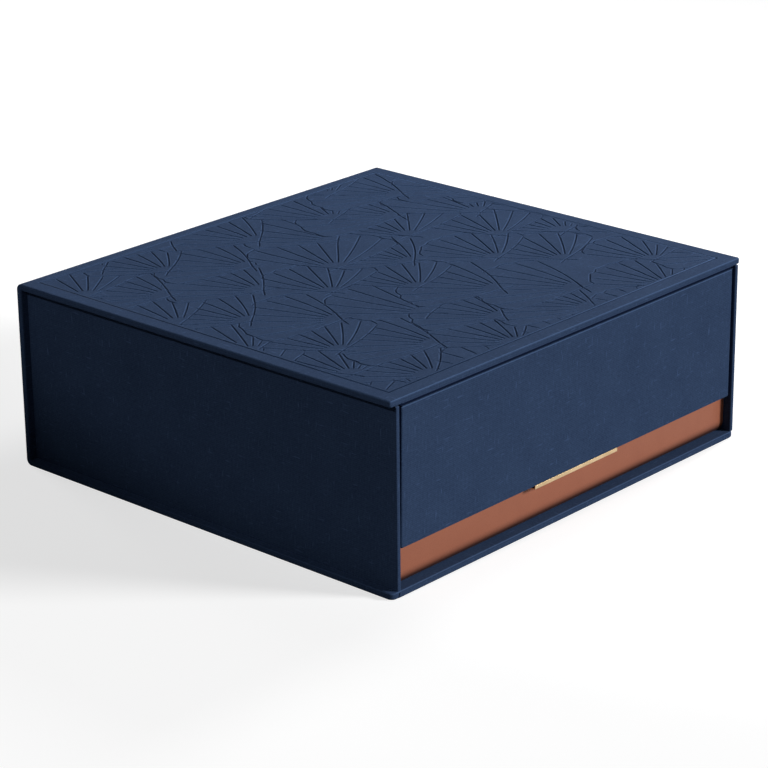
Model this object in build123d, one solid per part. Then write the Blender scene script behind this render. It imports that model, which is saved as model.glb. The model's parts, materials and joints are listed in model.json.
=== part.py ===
from build123d import *
import os

# Book-style keepsake box with a flap that closes on magnets, in millimetres.
# The origin is the centre of the underside of the base, +Z is up and the flap faces -Y.

# Case: boards wrapped in book cloth that run under, behind, over and down the front of the tray
case_width = 250.0
case_depth = 236.0
case_height = 92.0
case_board = 2.5
book_cloth = 0.3
cloth_turn_in = 15.0
corner_radius = 1.0
base_corner_radius = 3.0
edge_radius = 0.8
mitre_kerf = 0.1
seam_gap = 0.15

# Tray: thinner boards glued inside the case, set in from its left edge and level with its right edge
wall_board = 2.0
left_recess = 4.0
right_recess = 0.0
cheek_recess = 0.5
rim_turn_down = 3.0
lining_paper = 0.25
lid_clearance = 0.3

# Front wall: covered in smooth leatherette, with a lower edge that curls back under it
leatherette = 0.3
rolled_edge_radius = 10.5
rolled_edge_depth = 1.9

# Flap: hangs from the lid between the two cheeks of the tray
flap_recess = 0.8
flap_lower_edge = 22.0
flap_side_gap = 1.8
flap_to_wall = 1.0
joint_height = 1.8
lining_margin = 4.0

# Magnets: two pairs of discs, one of each pair in the flap and one in the front wall
magnet_diameter = 10.0
magnet_thickness = 1.5
magnet_spacing = 120.0
magnet_level = 40.0
magnet_clearance = 0.1

# Brass channel clipped over the middle of the flap's lower edge
bar_length = 60.0
bar_lip = 1.9
bar_metal = 0.5
bar_fold_radius = 0.45

# Pressed line round the top of the lid
frame_inset = 9.5
frame_line = 0.9
frame_depth = 0.15

# Places that follow from the sizes above
x_left = -case_width / 2
x_right = case_width / 2
y_front = -case_depth / 2
y_back = case_depth / 2
slab = case_board + 2 * book_cloth
lid_under = case_height - slab
spine_inner = y_back - slab
tray_top = lid_under - lining_paper - lid_clearance
rim_line = tray_top - rim_turn_down
floor_top = slab + wall_board

left_outer = x_left + left_recess
left_inner = left_outer + book_cloth + wall_board
right_outer = x_right - right_recess
right_inner = right_outer - book_cloth - wall_board
cheek_left = left_inner + book_cloth
cheek_right = right_inner - book_cloth
cheek_front = y_front + cheek_recess

flap_left = cheek_left + flap_side_gap
flap_right = cheek_right - flap_side_gap
flap_middle = (flap_left + flap_right) / 2
flap_face = y_front + flap_recess
flap_back = flap_face + slab
flap_upper_edge = lid_under - joint_height

wall_face = flap_back + flap_to_wall
front_board_face = wall_face + leatherette
front_board_back = front_board_face + wall_board
back_board_face = spine_inner - wall_board
back_rim_face = back_board_face - book_cloth

# The rolled edge leaves at least this much of the board's lower end flat
least_flat = 0.05
roll_depth = min(rolled_edge_depth, wall_board - least_flat)
roll_start = slab + (2 * rolled_edge_radius * roll_depth - roll_depth ** 2) ** 0.5

# Room past a face that a cutter is to break through
through = 5.0

# Two places closer than this are the same place
same_place = 0.01


def block(x0, x1, y0, y1, z0, z1):
    """A box between two opposite corners."""
    middle = Pos((x0 + x1) / 2, (y0 + y1) / 2, (z0 + z1) / 2)
    return middle * Box(x1 - x0, y1 - y0, z1 - z0)


def edges_at(solid, axis, *levels):
    """Edges whose middle lies at one of the given levels along an axis."""
    def is_there(edge):
        place = edge.center().dot(axis.direction)
        return any(abs(place - level) < same_place for level in levels)
    return solid.edges().filter_by(is_there)


def clear_of_spine(edges):
    """The given edges without those that end against the spine."""
    return edges.filter_by(lambda edge: edge.center().Y < spine_inner - same_place)


def front_corners(solid):
    """The upright edges at the front, from the lowest up."""
    return solid.edges().filter_by(Axis.Z).group_by(Axis.Y)[0].sort_by(Axis.Z)


# Boards of the case

def case_section():
    """Base, spine and lid as one board folded round two rounded back corners."""
    board = block(x_left + book_cloth, x_right - book_cloth, y_front + book_cloth,
                  y_back - book_cloth, book_cloth, case_height - book_cloth)
    back_edges = board.edges().filter_by(Axis.X).group_by(Axis.Y)[-1]
    board = fillet(back_edges, slab - book_cloth)
    inside = block(x_left, x_right, y_front, spine_inner + book_cloth,
                   slab - book_cloth, lid_under + book_cloth)
    section = board - inside
    section = fillet(front_corners(section)[:2], base_corner_radius - book_cloth)
    return fillet(front_corners(section)[-2:], corner_radius - book_cloth)


def mitre_cut(z, lean):
    """The saw cut that parts two boards of the case at a back corner."""
    corner_diagonal = slab * 2 ** 0.5
    cutter = Box(case_width + through, mitre_kerf, 2 * corner_diagonal + through)
    return Pos(0, spine_inner, z) * Rot(lean, 0, 0) * cutter


def make_case_boards():
    """Part the folded board into its base, spine and lid."""
    section = case_section()
    section = section - mitre_cut(slab, 45) - mitre_cut(lid_under, -45)
    return section.solids().sort_by(Axis.Z)


def make_flap_board():
    board = block(flap_left + book_cloth, flap_right - book_cloth,
                  flap_face + book_cloth, flap_back - book_cloth,
                  flap_lower_edge + book_cloth, flap_upper_edge - book_cloth)
    board = fillet(board.edges().filter_by(Axis.Y), corner_radius - book_cloth)
    for seat in magnet_seats(flap_back - book_cloth - magnet_thickness, magnet_clearance):
        board = board - seat
    return board


# Cloth of the case: each piece wraps its board's edges and turns in on the inner side

def wrapped_plate(z0, z1, radius):
    """Outer form of the lid or base in its cloth, open at the back."""
    plate = block(x_left, x_right, y_front, spine_inner, z0, z1)
    plate = fillet(front_corners(plate), radius)
    return fillet(clear_of_spine(edges_at(plate, Axis.Z, z0, z1)), edge_radius)


def wrapped_board(z0, z1, radius):
    """Room for the board inside that form, run on past the open back."""
    board = block(x_left + book_cloth, x_right - book_cloth, y_front + book_cloth,
                  spine_inner + through, z0 + book_cloth, z1 - book_cloth)
    return fillet(front_corners(board), radius - book_cloth)


def turn_in_window(z0, z1):
    """The part of the inner side that the turned-in cloth leaves bare."""
    return block(x_left + cloth_turn_in, x_right - cloth_turn_in,
                 y_front + cloth_turn_in, spine_inner + through, z0, z1)


def mitre_seams(z0, z1, start):
    """Hairline seams where the turned-in cloth meets at the two front corners."""
    end = cloth_turn_in + seam_gap
    middle = (start + end) / 2
    seam = Box((end - start) * 2 ** 0.5, seam_gap, z1 - z0)
    level = (z0 + z1) / 2
    left = Pos(x_left + middle, y_front + middle, level) * Rot(0, 0, 45) * seam
    right = Pos(x_right - middle, y_front + middle, level) * Rot(0, 0, -45) * seam
    return [left, right]


def make_base_cloth():
    cloth = wrapped_plate(0, slab, base_corner_radius) - wrapped_board(0, slab, base_corner_radius)
    cloth = cloth - turn_in_window(slab - book_cloth, slab + through)
    for seam in mitre_seams(slab - book_cloth, slab + book_cloth, base_corner_radius):
        cloth = cloth - seam
    return cloth


def make_lid_cloth():
    cloth = wrapped_plate(lid_under, case_height, corner_radius)
    cloth = cloth - wrapped_board(lid_under, case_height, corner_radius)
    cloth = cloth - turn_in_window(lid_under - through, lid_under + book_cloth)
    for seam in mitre_seams(lid_under - book_cloth, lid_under + book_cloth, corner_radius):
        cloth = cloth - seam
    return cloth - pressed_frame()


def pressed_frame():
    """The line pressed into the cloth all round the top of the lid."""
    z0 = case_height - frame_depth
    z1 = case_height + through
    outer = block(x_left + frame_inset, x_right - frame_inset,
                  y_front + frame_inset, y_back - frame_inset, z0, z1)
    inset = frame_inset + frame_line
    inner = block(x_left + inset, x_right - inset, y_front + inset, y_back - inset, z0, z1)
    return outer - inner


def make_spine_cloth():
    cloth = block(x_left, x_right, spine_inner, y_back, slab, lid_under)
    cloth = fillet(cloth.edges().filter_by(Axis.Z), edge_radius)
    board = block(x_left + book_cloth, x_right - book_cloth, spine_inner + book_cloth,
                  y_back - book_cloth, slab, lid_under)
    window = block(x_left + cloth_turn_in, x_right - cloth_turn_in,
                   spine_inner, spine_inner + book_cloth, slab, lid_under)
    return cloth - board - window


def corner_cloth(z, quadrant):
    """Cloth rounding a back corner, between the spine and the lid or base, and over the board's ends."""
    corner = Pos(slab / 2, quadrant * slab / 2) * Rectangle(slab, slab)
    bend = extrude(Plane.YZ * (Circle(slab) & corner), amount=case_width)
    bend = fillet(bend.edges().filter_by(GeomType.CIRCLE), edge_radius)
    board = extrude(Plane.YZ * (Circle(slab - book_cloth) & corner), amount=case_width - 2 * book_cloth)
    return Pos(x_left, spine_inner, z) * (bend - Pos(book_cloth, 0, 0) * board)


def make_flap_cloth():
    cloth = block(flap_left, flap_right, flap_face, flap_back, flap_lower_edge, flap_upper_edge)
    cloth = fillet(cloth.edges().filter_by(Axis.Y), corner_radius)
    cloth = fillet(edges_at(cloth, Axis.Y, flap_face, flap_back), edge_radius)
    board = block(flap_left + book_cloth, flap_right - book_cloth,
                  flap_face + book_cloth, flap_back - book_cloth,
                  flap_lower_edge + book_cloth, flap_upper_edge - book_cloth)
    board = fillet(board.edges().filter_by(Axis.Y), corner_radius - book_cloth)
    window = block(flap_left + cloth_turn_in, flap_right - cloth_turn_in,
                   flap_back - book_cloth, flap_back + through,
                   flap_lower_edge + cloth_turn_in, flap_upper_edge - cloth_turn_in)
    return cloth - board - window


def make_flap_hinge_cloth():
    """Cloth dipped into the joint between the lid's front edge and the flap."""
    radius = joint_height / 2
    ring = Circle(radius) - Circle(radius - book_cloth)
    half = ring & (Pos(radius / 2, 0) * Rectangle(radius, joint_height))
    joint = extrude(Plane.YZ * half, amount=flap_right - flap_left)
    return Pos(flap_left, flap_face, lid_under - radius) * joint


# Linings of the case

def make_lid_lining():
    """Paper that fills the window in the turned-in cloth and laps over the cloth."""
    fill = block(x_left + cloth_turn_in, x_right - cloth_turn_in, y_front + cloth_turn_in,
                 spine_inner, lid_under, lid_under + book_cloth)
    sheet = block(x_left + lining_margin, x_right - lining_margin,
                  y_front + lining_margin, spine_inner - lining_margin,
                  lid_under - lining_paper, lid_under)
    return fill + sheet


def make_flap_lining():
    fill = block(flap_left + cloth_turn_in, flap_right - cloth_turn_in,
                 flap_back - book_cloth, flap_back,
                 flap_lower_edge + cloth_turn_in, flap_upper_edge - cloth_turn_in)
    sheet = block(flap_left + lining_margin, flap_right - lining_margin,
                  flap_back, flap_back + lining_paper,
                  flap_lower_edge + lining_margin, flap_upper_edge - lining_margin)
    return fill + sheet


# Tray

def make_side_board(outer, inner):
    """Side wall, which runs on past the front wall as a cheek beside the flap."""
    return block(min(outer, inner), max(outer, inner),
                 cheek_front + book_cloth, spine_inner, slab, tray_top - book_cloth)


def make_side_cloth(outer, inner, cheek):
    """Cloth over a side wall's outer face, front end and rim, and over the cheek's inner face."""
    low = min(outer, cheek)
    high = max(outer, cheek)
    cloth = block(low, high, cheek_front, spine_inner, slab, tray_top)
    cloth = fillet(cloth.edges().filter_by(Axis.Z).group_by(Axis.Y)[0], edge_radius)
    cloth = fillet(clear_of_spine(edges_at(cloth, Axis.Z, tray_top)), edge_radius)
    step = book_cloth if outer < inner else -book_cloth
    board = make_side_board(outer + step, inner)
    lined = block(min(inner, cheek), max(inner, cheek), front_board_back, spine_inner, slab, rim_line)
    return cloth - board - lined


def rolled_plate(y0, y1, z0, z1, radius):
    """Plate between the cheeks whose face curls back from the level where the roll starts."""
    drop = roll_start - z0
    y_foot = y0 + radius - (radius ** 2 - drop ** 2) ** 0.5
    flats = Polyline((y0, roll_start), (y0, z1), (y1, z1), (y1, z0), (y_foot, z0))
    curl = TangentArc((y0, roll_start), (y_foot, z0), tangent=(0, -1))
    profile = make_face([flats, curl])
    plate = extrude(Plane.YZ * profile, amount=cheek_right - cheek_left)
    return Pos(cheek_left, 0, 0) * plate


def front_board_form():
    return rolled_plate(front_board_face, front_board_back, slab + leatherette,
                        tray_top - leatherette, rolled_edge_radius - leatherette)


def make_front_board():
    board = front_board_form()
    for seat in magnet_seats(front_board_face, magnet_clearance):
        board = board - seat
    return board


def make_front_cover():
    """Leatherette over the front wall, rolled under its lower edge and over its rim."""
    cover = rolled_plate(wall_face, front_board_back + leatherette, slab, tray_top,
                         rolled_edge_radius)
    cover = fillet(edges_at(cover, Axis.Z, tray_top).filter_by(Axis.X), leatherette)
    lined = block(cheek_left, cheek_right, front_board_back,
                  front_board_back + leatherette, slab, rim_line)
    return cover - front_board_form() - lined


def make_back_board():
    return block(cheek_left, cheek_right, back_board_face, spine_inner, slab, tray_top - book_cloth)


def make_back_rim_cloth():
    """Cloth strip over the rim of the back wall."""
    strip = block(cheek_left, cheek_right, back_rim_face, spine_inner, rim_line, tray_top)
    board = block(cheek_left, cheek_right, back_board_face, spine_inner, rim_line, tray_top - book_cloth)
    return strip - board


def make_floor_board():
    return block(left_inner, right_inner, front_board_back, back_board_face, slab, floor_top)


def make_side_lining(inner, into_tray):
    far = inner + into_tray * lining_paper
    return block(min(inner, far), max(inner, far), front_board_back, back_board_face, floor_top, rim_line)


def make_end_lining(face, into_tray):
    far = face + into_tray * lining_paper
    return block(left_inner + lining_paper, right_inner - lining_paper,
                 min(face, far), max(face, far), floor_top, rim_line)


def make_floor_lining():
    return block(left_inner + lining_paper, right_inner - lining_paper,
                 front_board_back + lining_paper, back_board_face - lining_paper,
                 floor_top, floor_top + lining_paper)


# Magnets and brass

def magnet_seats(y, clearance):
    """Two discs facing -Y and +Y, evenly either side of the middle of the flap."""
    disc = Cylinder(magnet_diameter / 2 + clearance, magnet_thickness)
    seats = []
    for side in (-1, 1):
        x = flap_middle + side * magnet_spacing / 2
        seats.append(Pos(x, y + magnet_thickness / 2, magnet_level) * Rot(90, 0, 0) * disc)
    return seats


def make_magnets(y):
    return Compound(children=[Part(seat.wrapped) for seat in magnet_seats(y, 0)])


def make_brass_bar():
    """Folded channel that grips the flap's lower edge."""
    x0 = flap_middle - bar_length / 2
    x1 = flap_middle + bar_length / 2
    bar = block(x0, x1, flap_face - bar_metal, flap_back + bar_metal,
                flap_lower_edge - bar_metal, flap_lower_edge + bar_lip)
    bar = fillet(bar.edges().filter_by(Axis.X).group_by(Axis.Z)[0], bar_fold_radius)
    slot = block(x0 - through, x1 + through, flap_face, flap_back,
                 flap_lower_edge, flap_lower_edge + bar_lip + through)
    return bar - slot


base_board, spine_board, lid_board = make_case_boards()
nodes = {
    "base_board": base_board,
    "base_cloth": make_base_cloth(),
    "base_corner_cloth": corner_cloth(slab, -1),
    "spine_board": spine_board,
    "spine_cloth": make_spine_cloth(),
    "lid_hinge_cloth": corner_cloth(lid_under, 1),
    "lid_board": lid_board,
    "lid_cloth": make_lid_cloth(),
    "lid_lining": make_lid_lining(),
    "flap_hinge_cloth": make_flap_hinge_cloth(),
    "flap_board": make_flap_board(),
    "flap_cloth": make_flap_cloth(),
    "flap_lining": make_flap_lining(),
    "flap_magnets": make_magnets(flap_back - book_cloth - magnet_thickness),
    "brass_bar": make_brass_bar(),
    "tray_floor_board": make_floor_board(),
    "left_wall_board": make_side_board(left_outer + book_cloth, left_inner),
    "left_wall_cloth": make_side_cloth(left_outer, left_inner, cheek_left),
    "right_wall_board": make_side_board(right_outer - book_cloth, right_inner),
    "right_wall_cloth": make_side_cloth(right_outer, right_inner, cheek_right),
    "front_wall_board": make_front_board(),
    "front_wall_cover": make_front_cover(),
    "wall_magnets": make_magnets(front_board_face),
    "back_wall_board": make_back_board(),
    "back_rim_cloth": make_back_rim_cloth(),
    "floor_lining": make_floor_lining(),
    "left_wall_lining": make_side_lining(left_inner, 1),
    "right_wall_lining": make_side_lining(right_inner, -1),
    "front_wall_lining": make_end_lining(front_board_back, 1),
    "back_wall_lining": make_end_lining(back_board_face, -1),
}

os.makedirs("parts", exist_ok=True)
for name, solid in nodes.items():
    export_step(solid, f"parts/{name}.step")
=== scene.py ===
import json
import math
import random

import bmesh
import bpy
from mathutils import Matrix, Vector, geometry, kdtree
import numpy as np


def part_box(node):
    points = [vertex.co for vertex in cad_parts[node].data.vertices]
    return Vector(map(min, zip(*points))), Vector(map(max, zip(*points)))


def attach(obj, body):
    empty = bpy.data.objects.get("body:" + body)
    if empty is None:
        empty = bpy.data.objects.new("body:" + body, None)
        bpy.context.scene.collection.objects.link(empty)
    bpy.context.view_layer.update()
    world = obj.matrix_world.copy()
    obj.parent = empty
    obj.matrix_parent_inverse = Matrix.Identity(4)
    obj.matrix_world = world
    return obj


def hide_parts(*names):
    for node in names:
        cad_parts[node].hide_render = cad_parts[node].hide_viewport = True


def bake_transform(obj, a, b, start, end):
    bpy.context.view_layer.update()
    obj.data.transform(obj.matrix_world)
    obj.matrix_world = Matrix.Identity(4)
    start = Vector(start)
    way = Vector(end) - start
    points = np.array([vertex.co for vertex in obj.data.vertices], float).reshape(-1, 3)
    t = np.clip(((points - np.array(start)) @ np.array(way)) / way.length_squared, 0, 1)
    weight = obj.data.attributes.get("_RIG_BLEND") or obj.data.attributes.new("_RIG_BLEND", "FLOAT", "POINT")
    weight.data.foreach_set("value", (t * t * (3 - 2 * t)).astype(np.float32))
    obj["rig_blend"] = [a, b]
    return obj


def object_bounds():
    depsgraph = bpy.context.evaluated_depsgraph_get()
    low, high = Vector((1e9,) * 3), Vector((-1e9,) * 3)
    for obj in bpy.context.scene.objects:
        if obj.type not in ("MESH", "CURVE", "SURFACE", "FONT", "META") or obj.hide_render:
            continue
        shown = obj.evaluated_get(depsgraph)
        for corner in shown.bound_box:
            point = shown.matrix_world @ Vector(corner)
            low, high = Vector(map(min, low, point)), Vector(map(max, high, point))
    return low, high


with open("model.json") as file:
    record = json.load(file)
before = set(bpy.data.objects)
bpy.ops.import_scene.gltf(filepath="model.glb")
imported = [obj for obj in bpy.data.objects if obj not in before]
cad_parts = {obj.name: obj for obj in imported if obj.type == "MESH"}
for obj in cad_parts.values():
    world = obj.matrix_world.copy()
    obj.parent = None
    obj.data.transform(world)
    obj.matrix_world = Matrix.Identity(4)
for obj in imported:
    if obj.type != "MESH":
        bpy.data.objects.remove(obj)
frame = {"nodes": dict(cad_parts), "record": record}
cadLow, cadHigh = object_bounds()
scene = bpy.context.scene
mm = 0.001
weld = 0.001 * mm        # points nearer to each other than this are joined
print("frame loaded with", len(frame["nodes"]), "nodes")


# Materials

def hexToLinear(hexColour):
    channels = [int(hexColour[i:i + 2], 16) / 255 for i in (1, 3, 5)]
    linear = [c / 12.92 if c <= 0.04045 else ((c + 0.055) / 1.055) ** 2.4 for c in channels]
    return (*linear, 1.0)


def addNode(tree, kind, links=None, **settings):
    # one node with its settings; links maps an input to a value or to the socket that feeds it
    node = tree.nodes.new(kind)
    for key, value in settings.items():
        setattr(node, key, value)
    for name, source in (links or {}).items():
        if isinstance(source, bpy.types.NodeSocket):
            tree.links.new(source, node.inputs[name])
        else:
            node.inputs[name].default_value = source
    return node


def newMaterial(name):
    material = bpy.data.materials.new(name)
    material.use_nodes = True
    material.node_tree.nodes.clear()
    return material, material.node_tree


def surfacePlane(tree, onUv):
    # two distances along the surface in metres: from the UV map, or from whichever two axes lie in the face
    if onUv:
        uv = addNode(tree, "ShaderNodeUVMap", uv_map="cloth")
        split = addNode(tree, "ShaderNodeSeparateXYZ", {0: uv.outputs[0]})
        return split.outputs[0], split.outputs[1]
    place = addNode(tree, "ShaderNodeTexCoord")
    point = addNode(tree, "ShaderNodeSeparateXYZ", {0: place.outputs["Object"]})
    normal = addNode(tree, "ShaderNodeSeparateXYZ", {0: place.outputs["Normal"]})
    squareFrom = 0.6            # a normal with more than this along an axis has its face square to the axis
    facing = []
    for axis in (0, 2):
        size = addNode(tree, "ShaderNodeMath", {0: normal.outputs[axis]}, operation="ABSOLUTE")
        facing.append(addNode(tree, "ShaderNodeMath", {0: size.outputs[0], 1: squareFrom},
                              operation="GREATER_THAN"))
    x, y, z = point.outputs
    across = addNode(tree, "ShaderNodeMix", {0: facing[0].outputs[0], 2: x, 3: y})
    along = addNode(tree, "ShaderNodeMix", {0: facing[1].outputs[0], 2: z, 3: y})
    return across.outputs[0], along.outputs[0]


def stretchedPlace(tree, run, cross, perMetre):
    # where a pattern is read that is longer one way: its features per metre along its run and across it
    flat = addNode(tree, "ShaderNodeCombineXYZ", {0: run, 1: cross})
    sized = addNode(tree, "ShaderNodeVectorMath", {0: flat.outputs[0], 1: (*perMetre, 1.0)},
                    operation="MULTIPLY")
    return sized.outputs[0]


clothLook = {
    "thread": "#435879",        # lit crown of a thread
    "between": "#26344E",       # the hollow between threads in painted shade, also the darker end of the cloth's uneven tone
    "slub": "#4A6088",          # a thick stretch of thread, which takes the dye lighter
    "shadeColour": "#0F1A33",          # painted shade for cloth in a groove, in the flap's joint and on the turn-in's cut ends
    "wearAndHighlight": "#5F7CA8",        # cloth rubbed pale over the edge of a board, with a painted highlight on rounded edges and crests
    "threadSpacing": 0.9,       # mm, coarser than the 0.4 of real book cloth so that it shows
    "strayPerMetre": (260.0, 1400.0),       # how often a thread strays, along it and from one to the next
    "stray": 0.9,               # how far it strays; pi would be a whole thread
    "slubLength": 7.0,          # mm
    "slubWidth": 1.2,           # mm
    "slubFrom": 0.66,           # the noise above which a slub begins, and where it is full
    "slubFull": 0.78,
    "slubShare": 0.45,          # how much of its colour shows
    "slubRelief": 0.6,
    "cloudPerMetre": 55.0,      # broad unevenness of the dye
    "cloudShare": 0.3,
    "unevenPerThread": 0.8,     # fine unevenness, nearly from thread to thread
    "unevenShare": 0.75,
    "weaveShare": 0.4,          # how much lighter the crowns are painted, a painted highlight against the painted shade of the hollows
    "toneShift": -0.4,          # lower is darker overall
    "reliefHeight": 0.05,       # mm
    "reliefStrength": 0.7,
    "roughness": 0.85,
    "gloss": 0.03,
}


def makeBookCloth(name, onUv=False):
    # Book cloth, plain woven in cotton and paper backed: matt, with a fine square grain and stray slubs
    look = clothLook
    material, tree = newMaterial(name)
    u, v = surfacePlane(tree, onUv)
    spacing = look["threadSpacing"] * mm
    waves, slubs = [], []
    for run, cross in ((u, v), (v, u)):
        # each thread strays a little from its line, and has long thin slubs
        place = stretchedPlace(tree, run, cross, look["strayPerMetre"])
        stray = addNode(tree, "ShaderNodeTexNoise", {"Vector": place, "Scale": 1.0, "Detail": 2.0})
        shift = addNode(tree, "ShaderNodeMath", {0: stray.outputs[0], 1: look["stray"]}, operation="MULTIPLY")
        turns = addNode(tree, "ShaderNodeMath", {0: cross, 1: math.pi / spacing, 2: shift.outputs[0]},
                        operation="MULTIPLY_ADD")
        waves.append(addNode(tree, "ShaderNodeMath", {0: turns.outputs[0]}, operation="SINE").outputs[0])
        slubsPerMetre = (1 / (look["slubLength"] * mm), 1 / (look["slubWidth"] * mm))
        place = stretchedPlace(tree, run, cross, slubsPerMetre)
        streak = addNode(tree, "ShaderNodeTexNoise", {"Vector": place, "Scale": 1.0, "Detail": 1.0})
        slubs.append(addNode(tree, "ShaderNodeMapRange", {0: streak.outputs[0], 1: look["slubFrom"],
                                                          2: look["slubFull"]}).outputs[0])
    slub = addNode(tree, "ShaderNodeMath", {0: slubs[0], 1: slubs[1]}, operation="MAXIMUM")

    # plain weave: where the two waves agree one set of threads lies on top, and elsewhere the other
    over = addNode(tree, "ShaderNodeMath", {0: waves[0], 1: waves[1]}, operation="MULTIPLY")
    heights = []
    for wave, side in zip(waves, (0.5, -0.5)):
        crown = addNode(tree, "ShaderNodeMath", {0: wave}, operation="ABSOLUTE")
        lift = addNode(tree, "ShaderNodeMath", {0: over.outputs[0], 1: side, 2: 0.5},
                       operation="MULTIPLY_ADD")
        heights.append(addNode(tree, "ShaderNodeMath", {0: crown.outputs[0], 1: lift.outputs[0]},
                               operation="MULTIPLY").outputs[0])
    weave = addNode(tree, "ShaderNodeMath", {0: heights[0], 1: heights[1]}, operation="MAXIMUM")

    flat = addNode(tree, "ShaderNodeCombineXYZ", {0: u, 1: v})
    cloudy = addNode(tree, "ShaderNodeTexNoise", {"Vector": flat.outputs[0], "Scale": look["cloudPerMetre"],
                                                  "Detail": 4.0})
    uneven = addNode(tree, "ShaderNodeTexNoise", {"Vector": flat.outputs[0],
                                                  "Scale": look["unevenPerThread"] / spacing,
                                                  "Detail": 3.0, "Roughness": 0.65})
    tone = look["toneShift"]
    for part, amount in ((cloudy, "cloudShare"), (uneven, "unevenShare"), (weave, "weaveShare")):
        tone = addNode(tree, "ShaderNodeMath", {0: part.outputs[0], 1: look[amount], 2: tone},
                       operation="MULTIPLY_ADD").outputs[0]
    streaked = addNode(tree, "ShaderNodeMath", {0: slub.outputs[0], 1: look["slubShare"]},
                       operation="MULTIPLY")
    # the pale marks are edge wear with a painted highlight over rounded edges and crests
    wearAndHighlight = addNode(tree, "ShaderNodeAttribute", attribute_name="wearAndHighlight")
    # the dark marks are painted shade: along the pressed lines, in the flap's joint and on the turn-in's cut
    # ends
    pressed = addNode(tree, "ShaderNodeAttribute", attribute_name="pressed")
    colour = hexToLinear(look["between"])
    for share, shade in ((tone, "thread"), (streaked.outputs[0], "slub"), (wearAndHighlight.outputs["Fac"], "wearAndHighlight"),
                         (pressed.outputs["Fac"], "shadeColour")):
        colour = addNode(tree, "ShaderNodeMix", {0: share, 6: colour, 7: hexToLinear(look[shade])},
                         data_type="RGBA").outputs[2]
    raised = addNode(tree, "ShaderNodeMath", {0: slub.outputs[0], 1: look["slubRelief"], 2: weave.outputs[0]},
                     operation="MULTIPLY_ADD")
    relief = addNode(tree, "ShaderNodeBump", {"Height": raised.outputs[0], "Strength": look["reliefStrength"],
                                              "Distance": look["reliefHeight"] * mm})
    surface = addNode(tree, "ShaderNodeBsdfPrincipled", {
        "Base Color": colour, "Roughness": look["roughness"], "Normal": relief.outputs[0],
        "Specular IOR Level": look["gloss"]})
    addNode(tree, "ShaderNodeOutputMaterial", {"Surface": surface.outputs[0]})
    return material


leatheretteLook = {
    "face": "#995A42",
    "worn": "#A46349",
    "hollow": "#8A4C36",
    "paintedFootShade": "#160C0E",        # painted shade where it curls under, darker than the roll's own shading
    "grain": 0.55,              # mm, the size of a pebble in the embossed grain
    "pitFrom": 0.45,            # of a pebble's size, where the hollow round it begins and is deepest
    "pitFull": 0.9,
    "pitShare": 0.35,
    "wearPerMetre": 70.0,
    "reliefHeight": 0.03,       # mm
    "reliefStrength": 0.25,
    "roughness": 0.5,
    "gloss": 0.3,
}


def makeLeatherette():
    # Leatherette, a coated paper embossed with fine grain: smooth and satin, so it shades softly round a
    # roll; its foot has painted shade
    look = leatheretteLook
    material, tree = newMaterial("leatheretteEmbossed")
    place = addNode(tree, "ShaderNodeTexCoord")
    grain = addNode(tree, "ShaderNodeTexVoronoi", {"Vector": place.outputs["Object"],
                                                   "Scale": 1 / (look["grain"] * mm)}, feature="F1")
    wear = addNode(tree, "ShaderNodeTexNoise", {"Vector": place.outputs["Object"],
                                                "Scale": look["wearPerMetre"], "Detail": 3.0})
    pit = addNode(tree, "ShaderNodeMapRange", {0: grain.outputs[0], 1: look["pitFrom"], 2: look["pitFull"],
                                               3: 0.0, 4: look["pitShare"]})
    # painted shade where the cover curls under at the foot
    foot = addNode(tree, "ShaderNodeAttribute", attribute_name="paintedFootShade")
    colour = hexToLinear(look["face"])
    for share, shade in ((wear.outputs[0], "worn"), (pit.outputs[0], "hollow"),
                         (foot.outputs["Fac"], "paintedFootShade")):
        colour = addNode(tree, "ShaderNodeMix", {0: share, 6: colour, 7: hexToLinear(look[shade])},
                         data_type="RGBA").outputs[2]
    relief = addNode(tree, "ShaderNodeBump", {"Height": grain.outputs[0], "Strength": look["reliefStrength"],
                                              "Distance": look["reliefHeight"] * mm}, invert=True)
    surface = addNode(tree, "ShaderNodeBsdfPrincipled", {
        "Base Color": colour, "Roughness": look["roughness"], "Normal": relief.outputs[0],
        "Specular IOR Level": look["gloss"]})
    addNode(tree, "ShaderNodeOutputMaterial", {"Surface": surface.outputs[0]})
    return material


paperLook = {
    "sheet": "#A4684E",
    "fibre": "#935A42",
    "fibreLength": 2.5,         # mm
    "fibreWidth": 0.25,         # mm
    "cloudPerMetre": 30.0,
    "sheetFrom": 0.12,          # the noise at which the fibre colour gives way, and where it is gone
    "sheetFull": 0.42,
    "reliefHeight": 0.02,       # mm
    "reliefStrength": 0.3,
    "roughness": 0.9,
    "gloss": 0.2,
}


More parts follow.
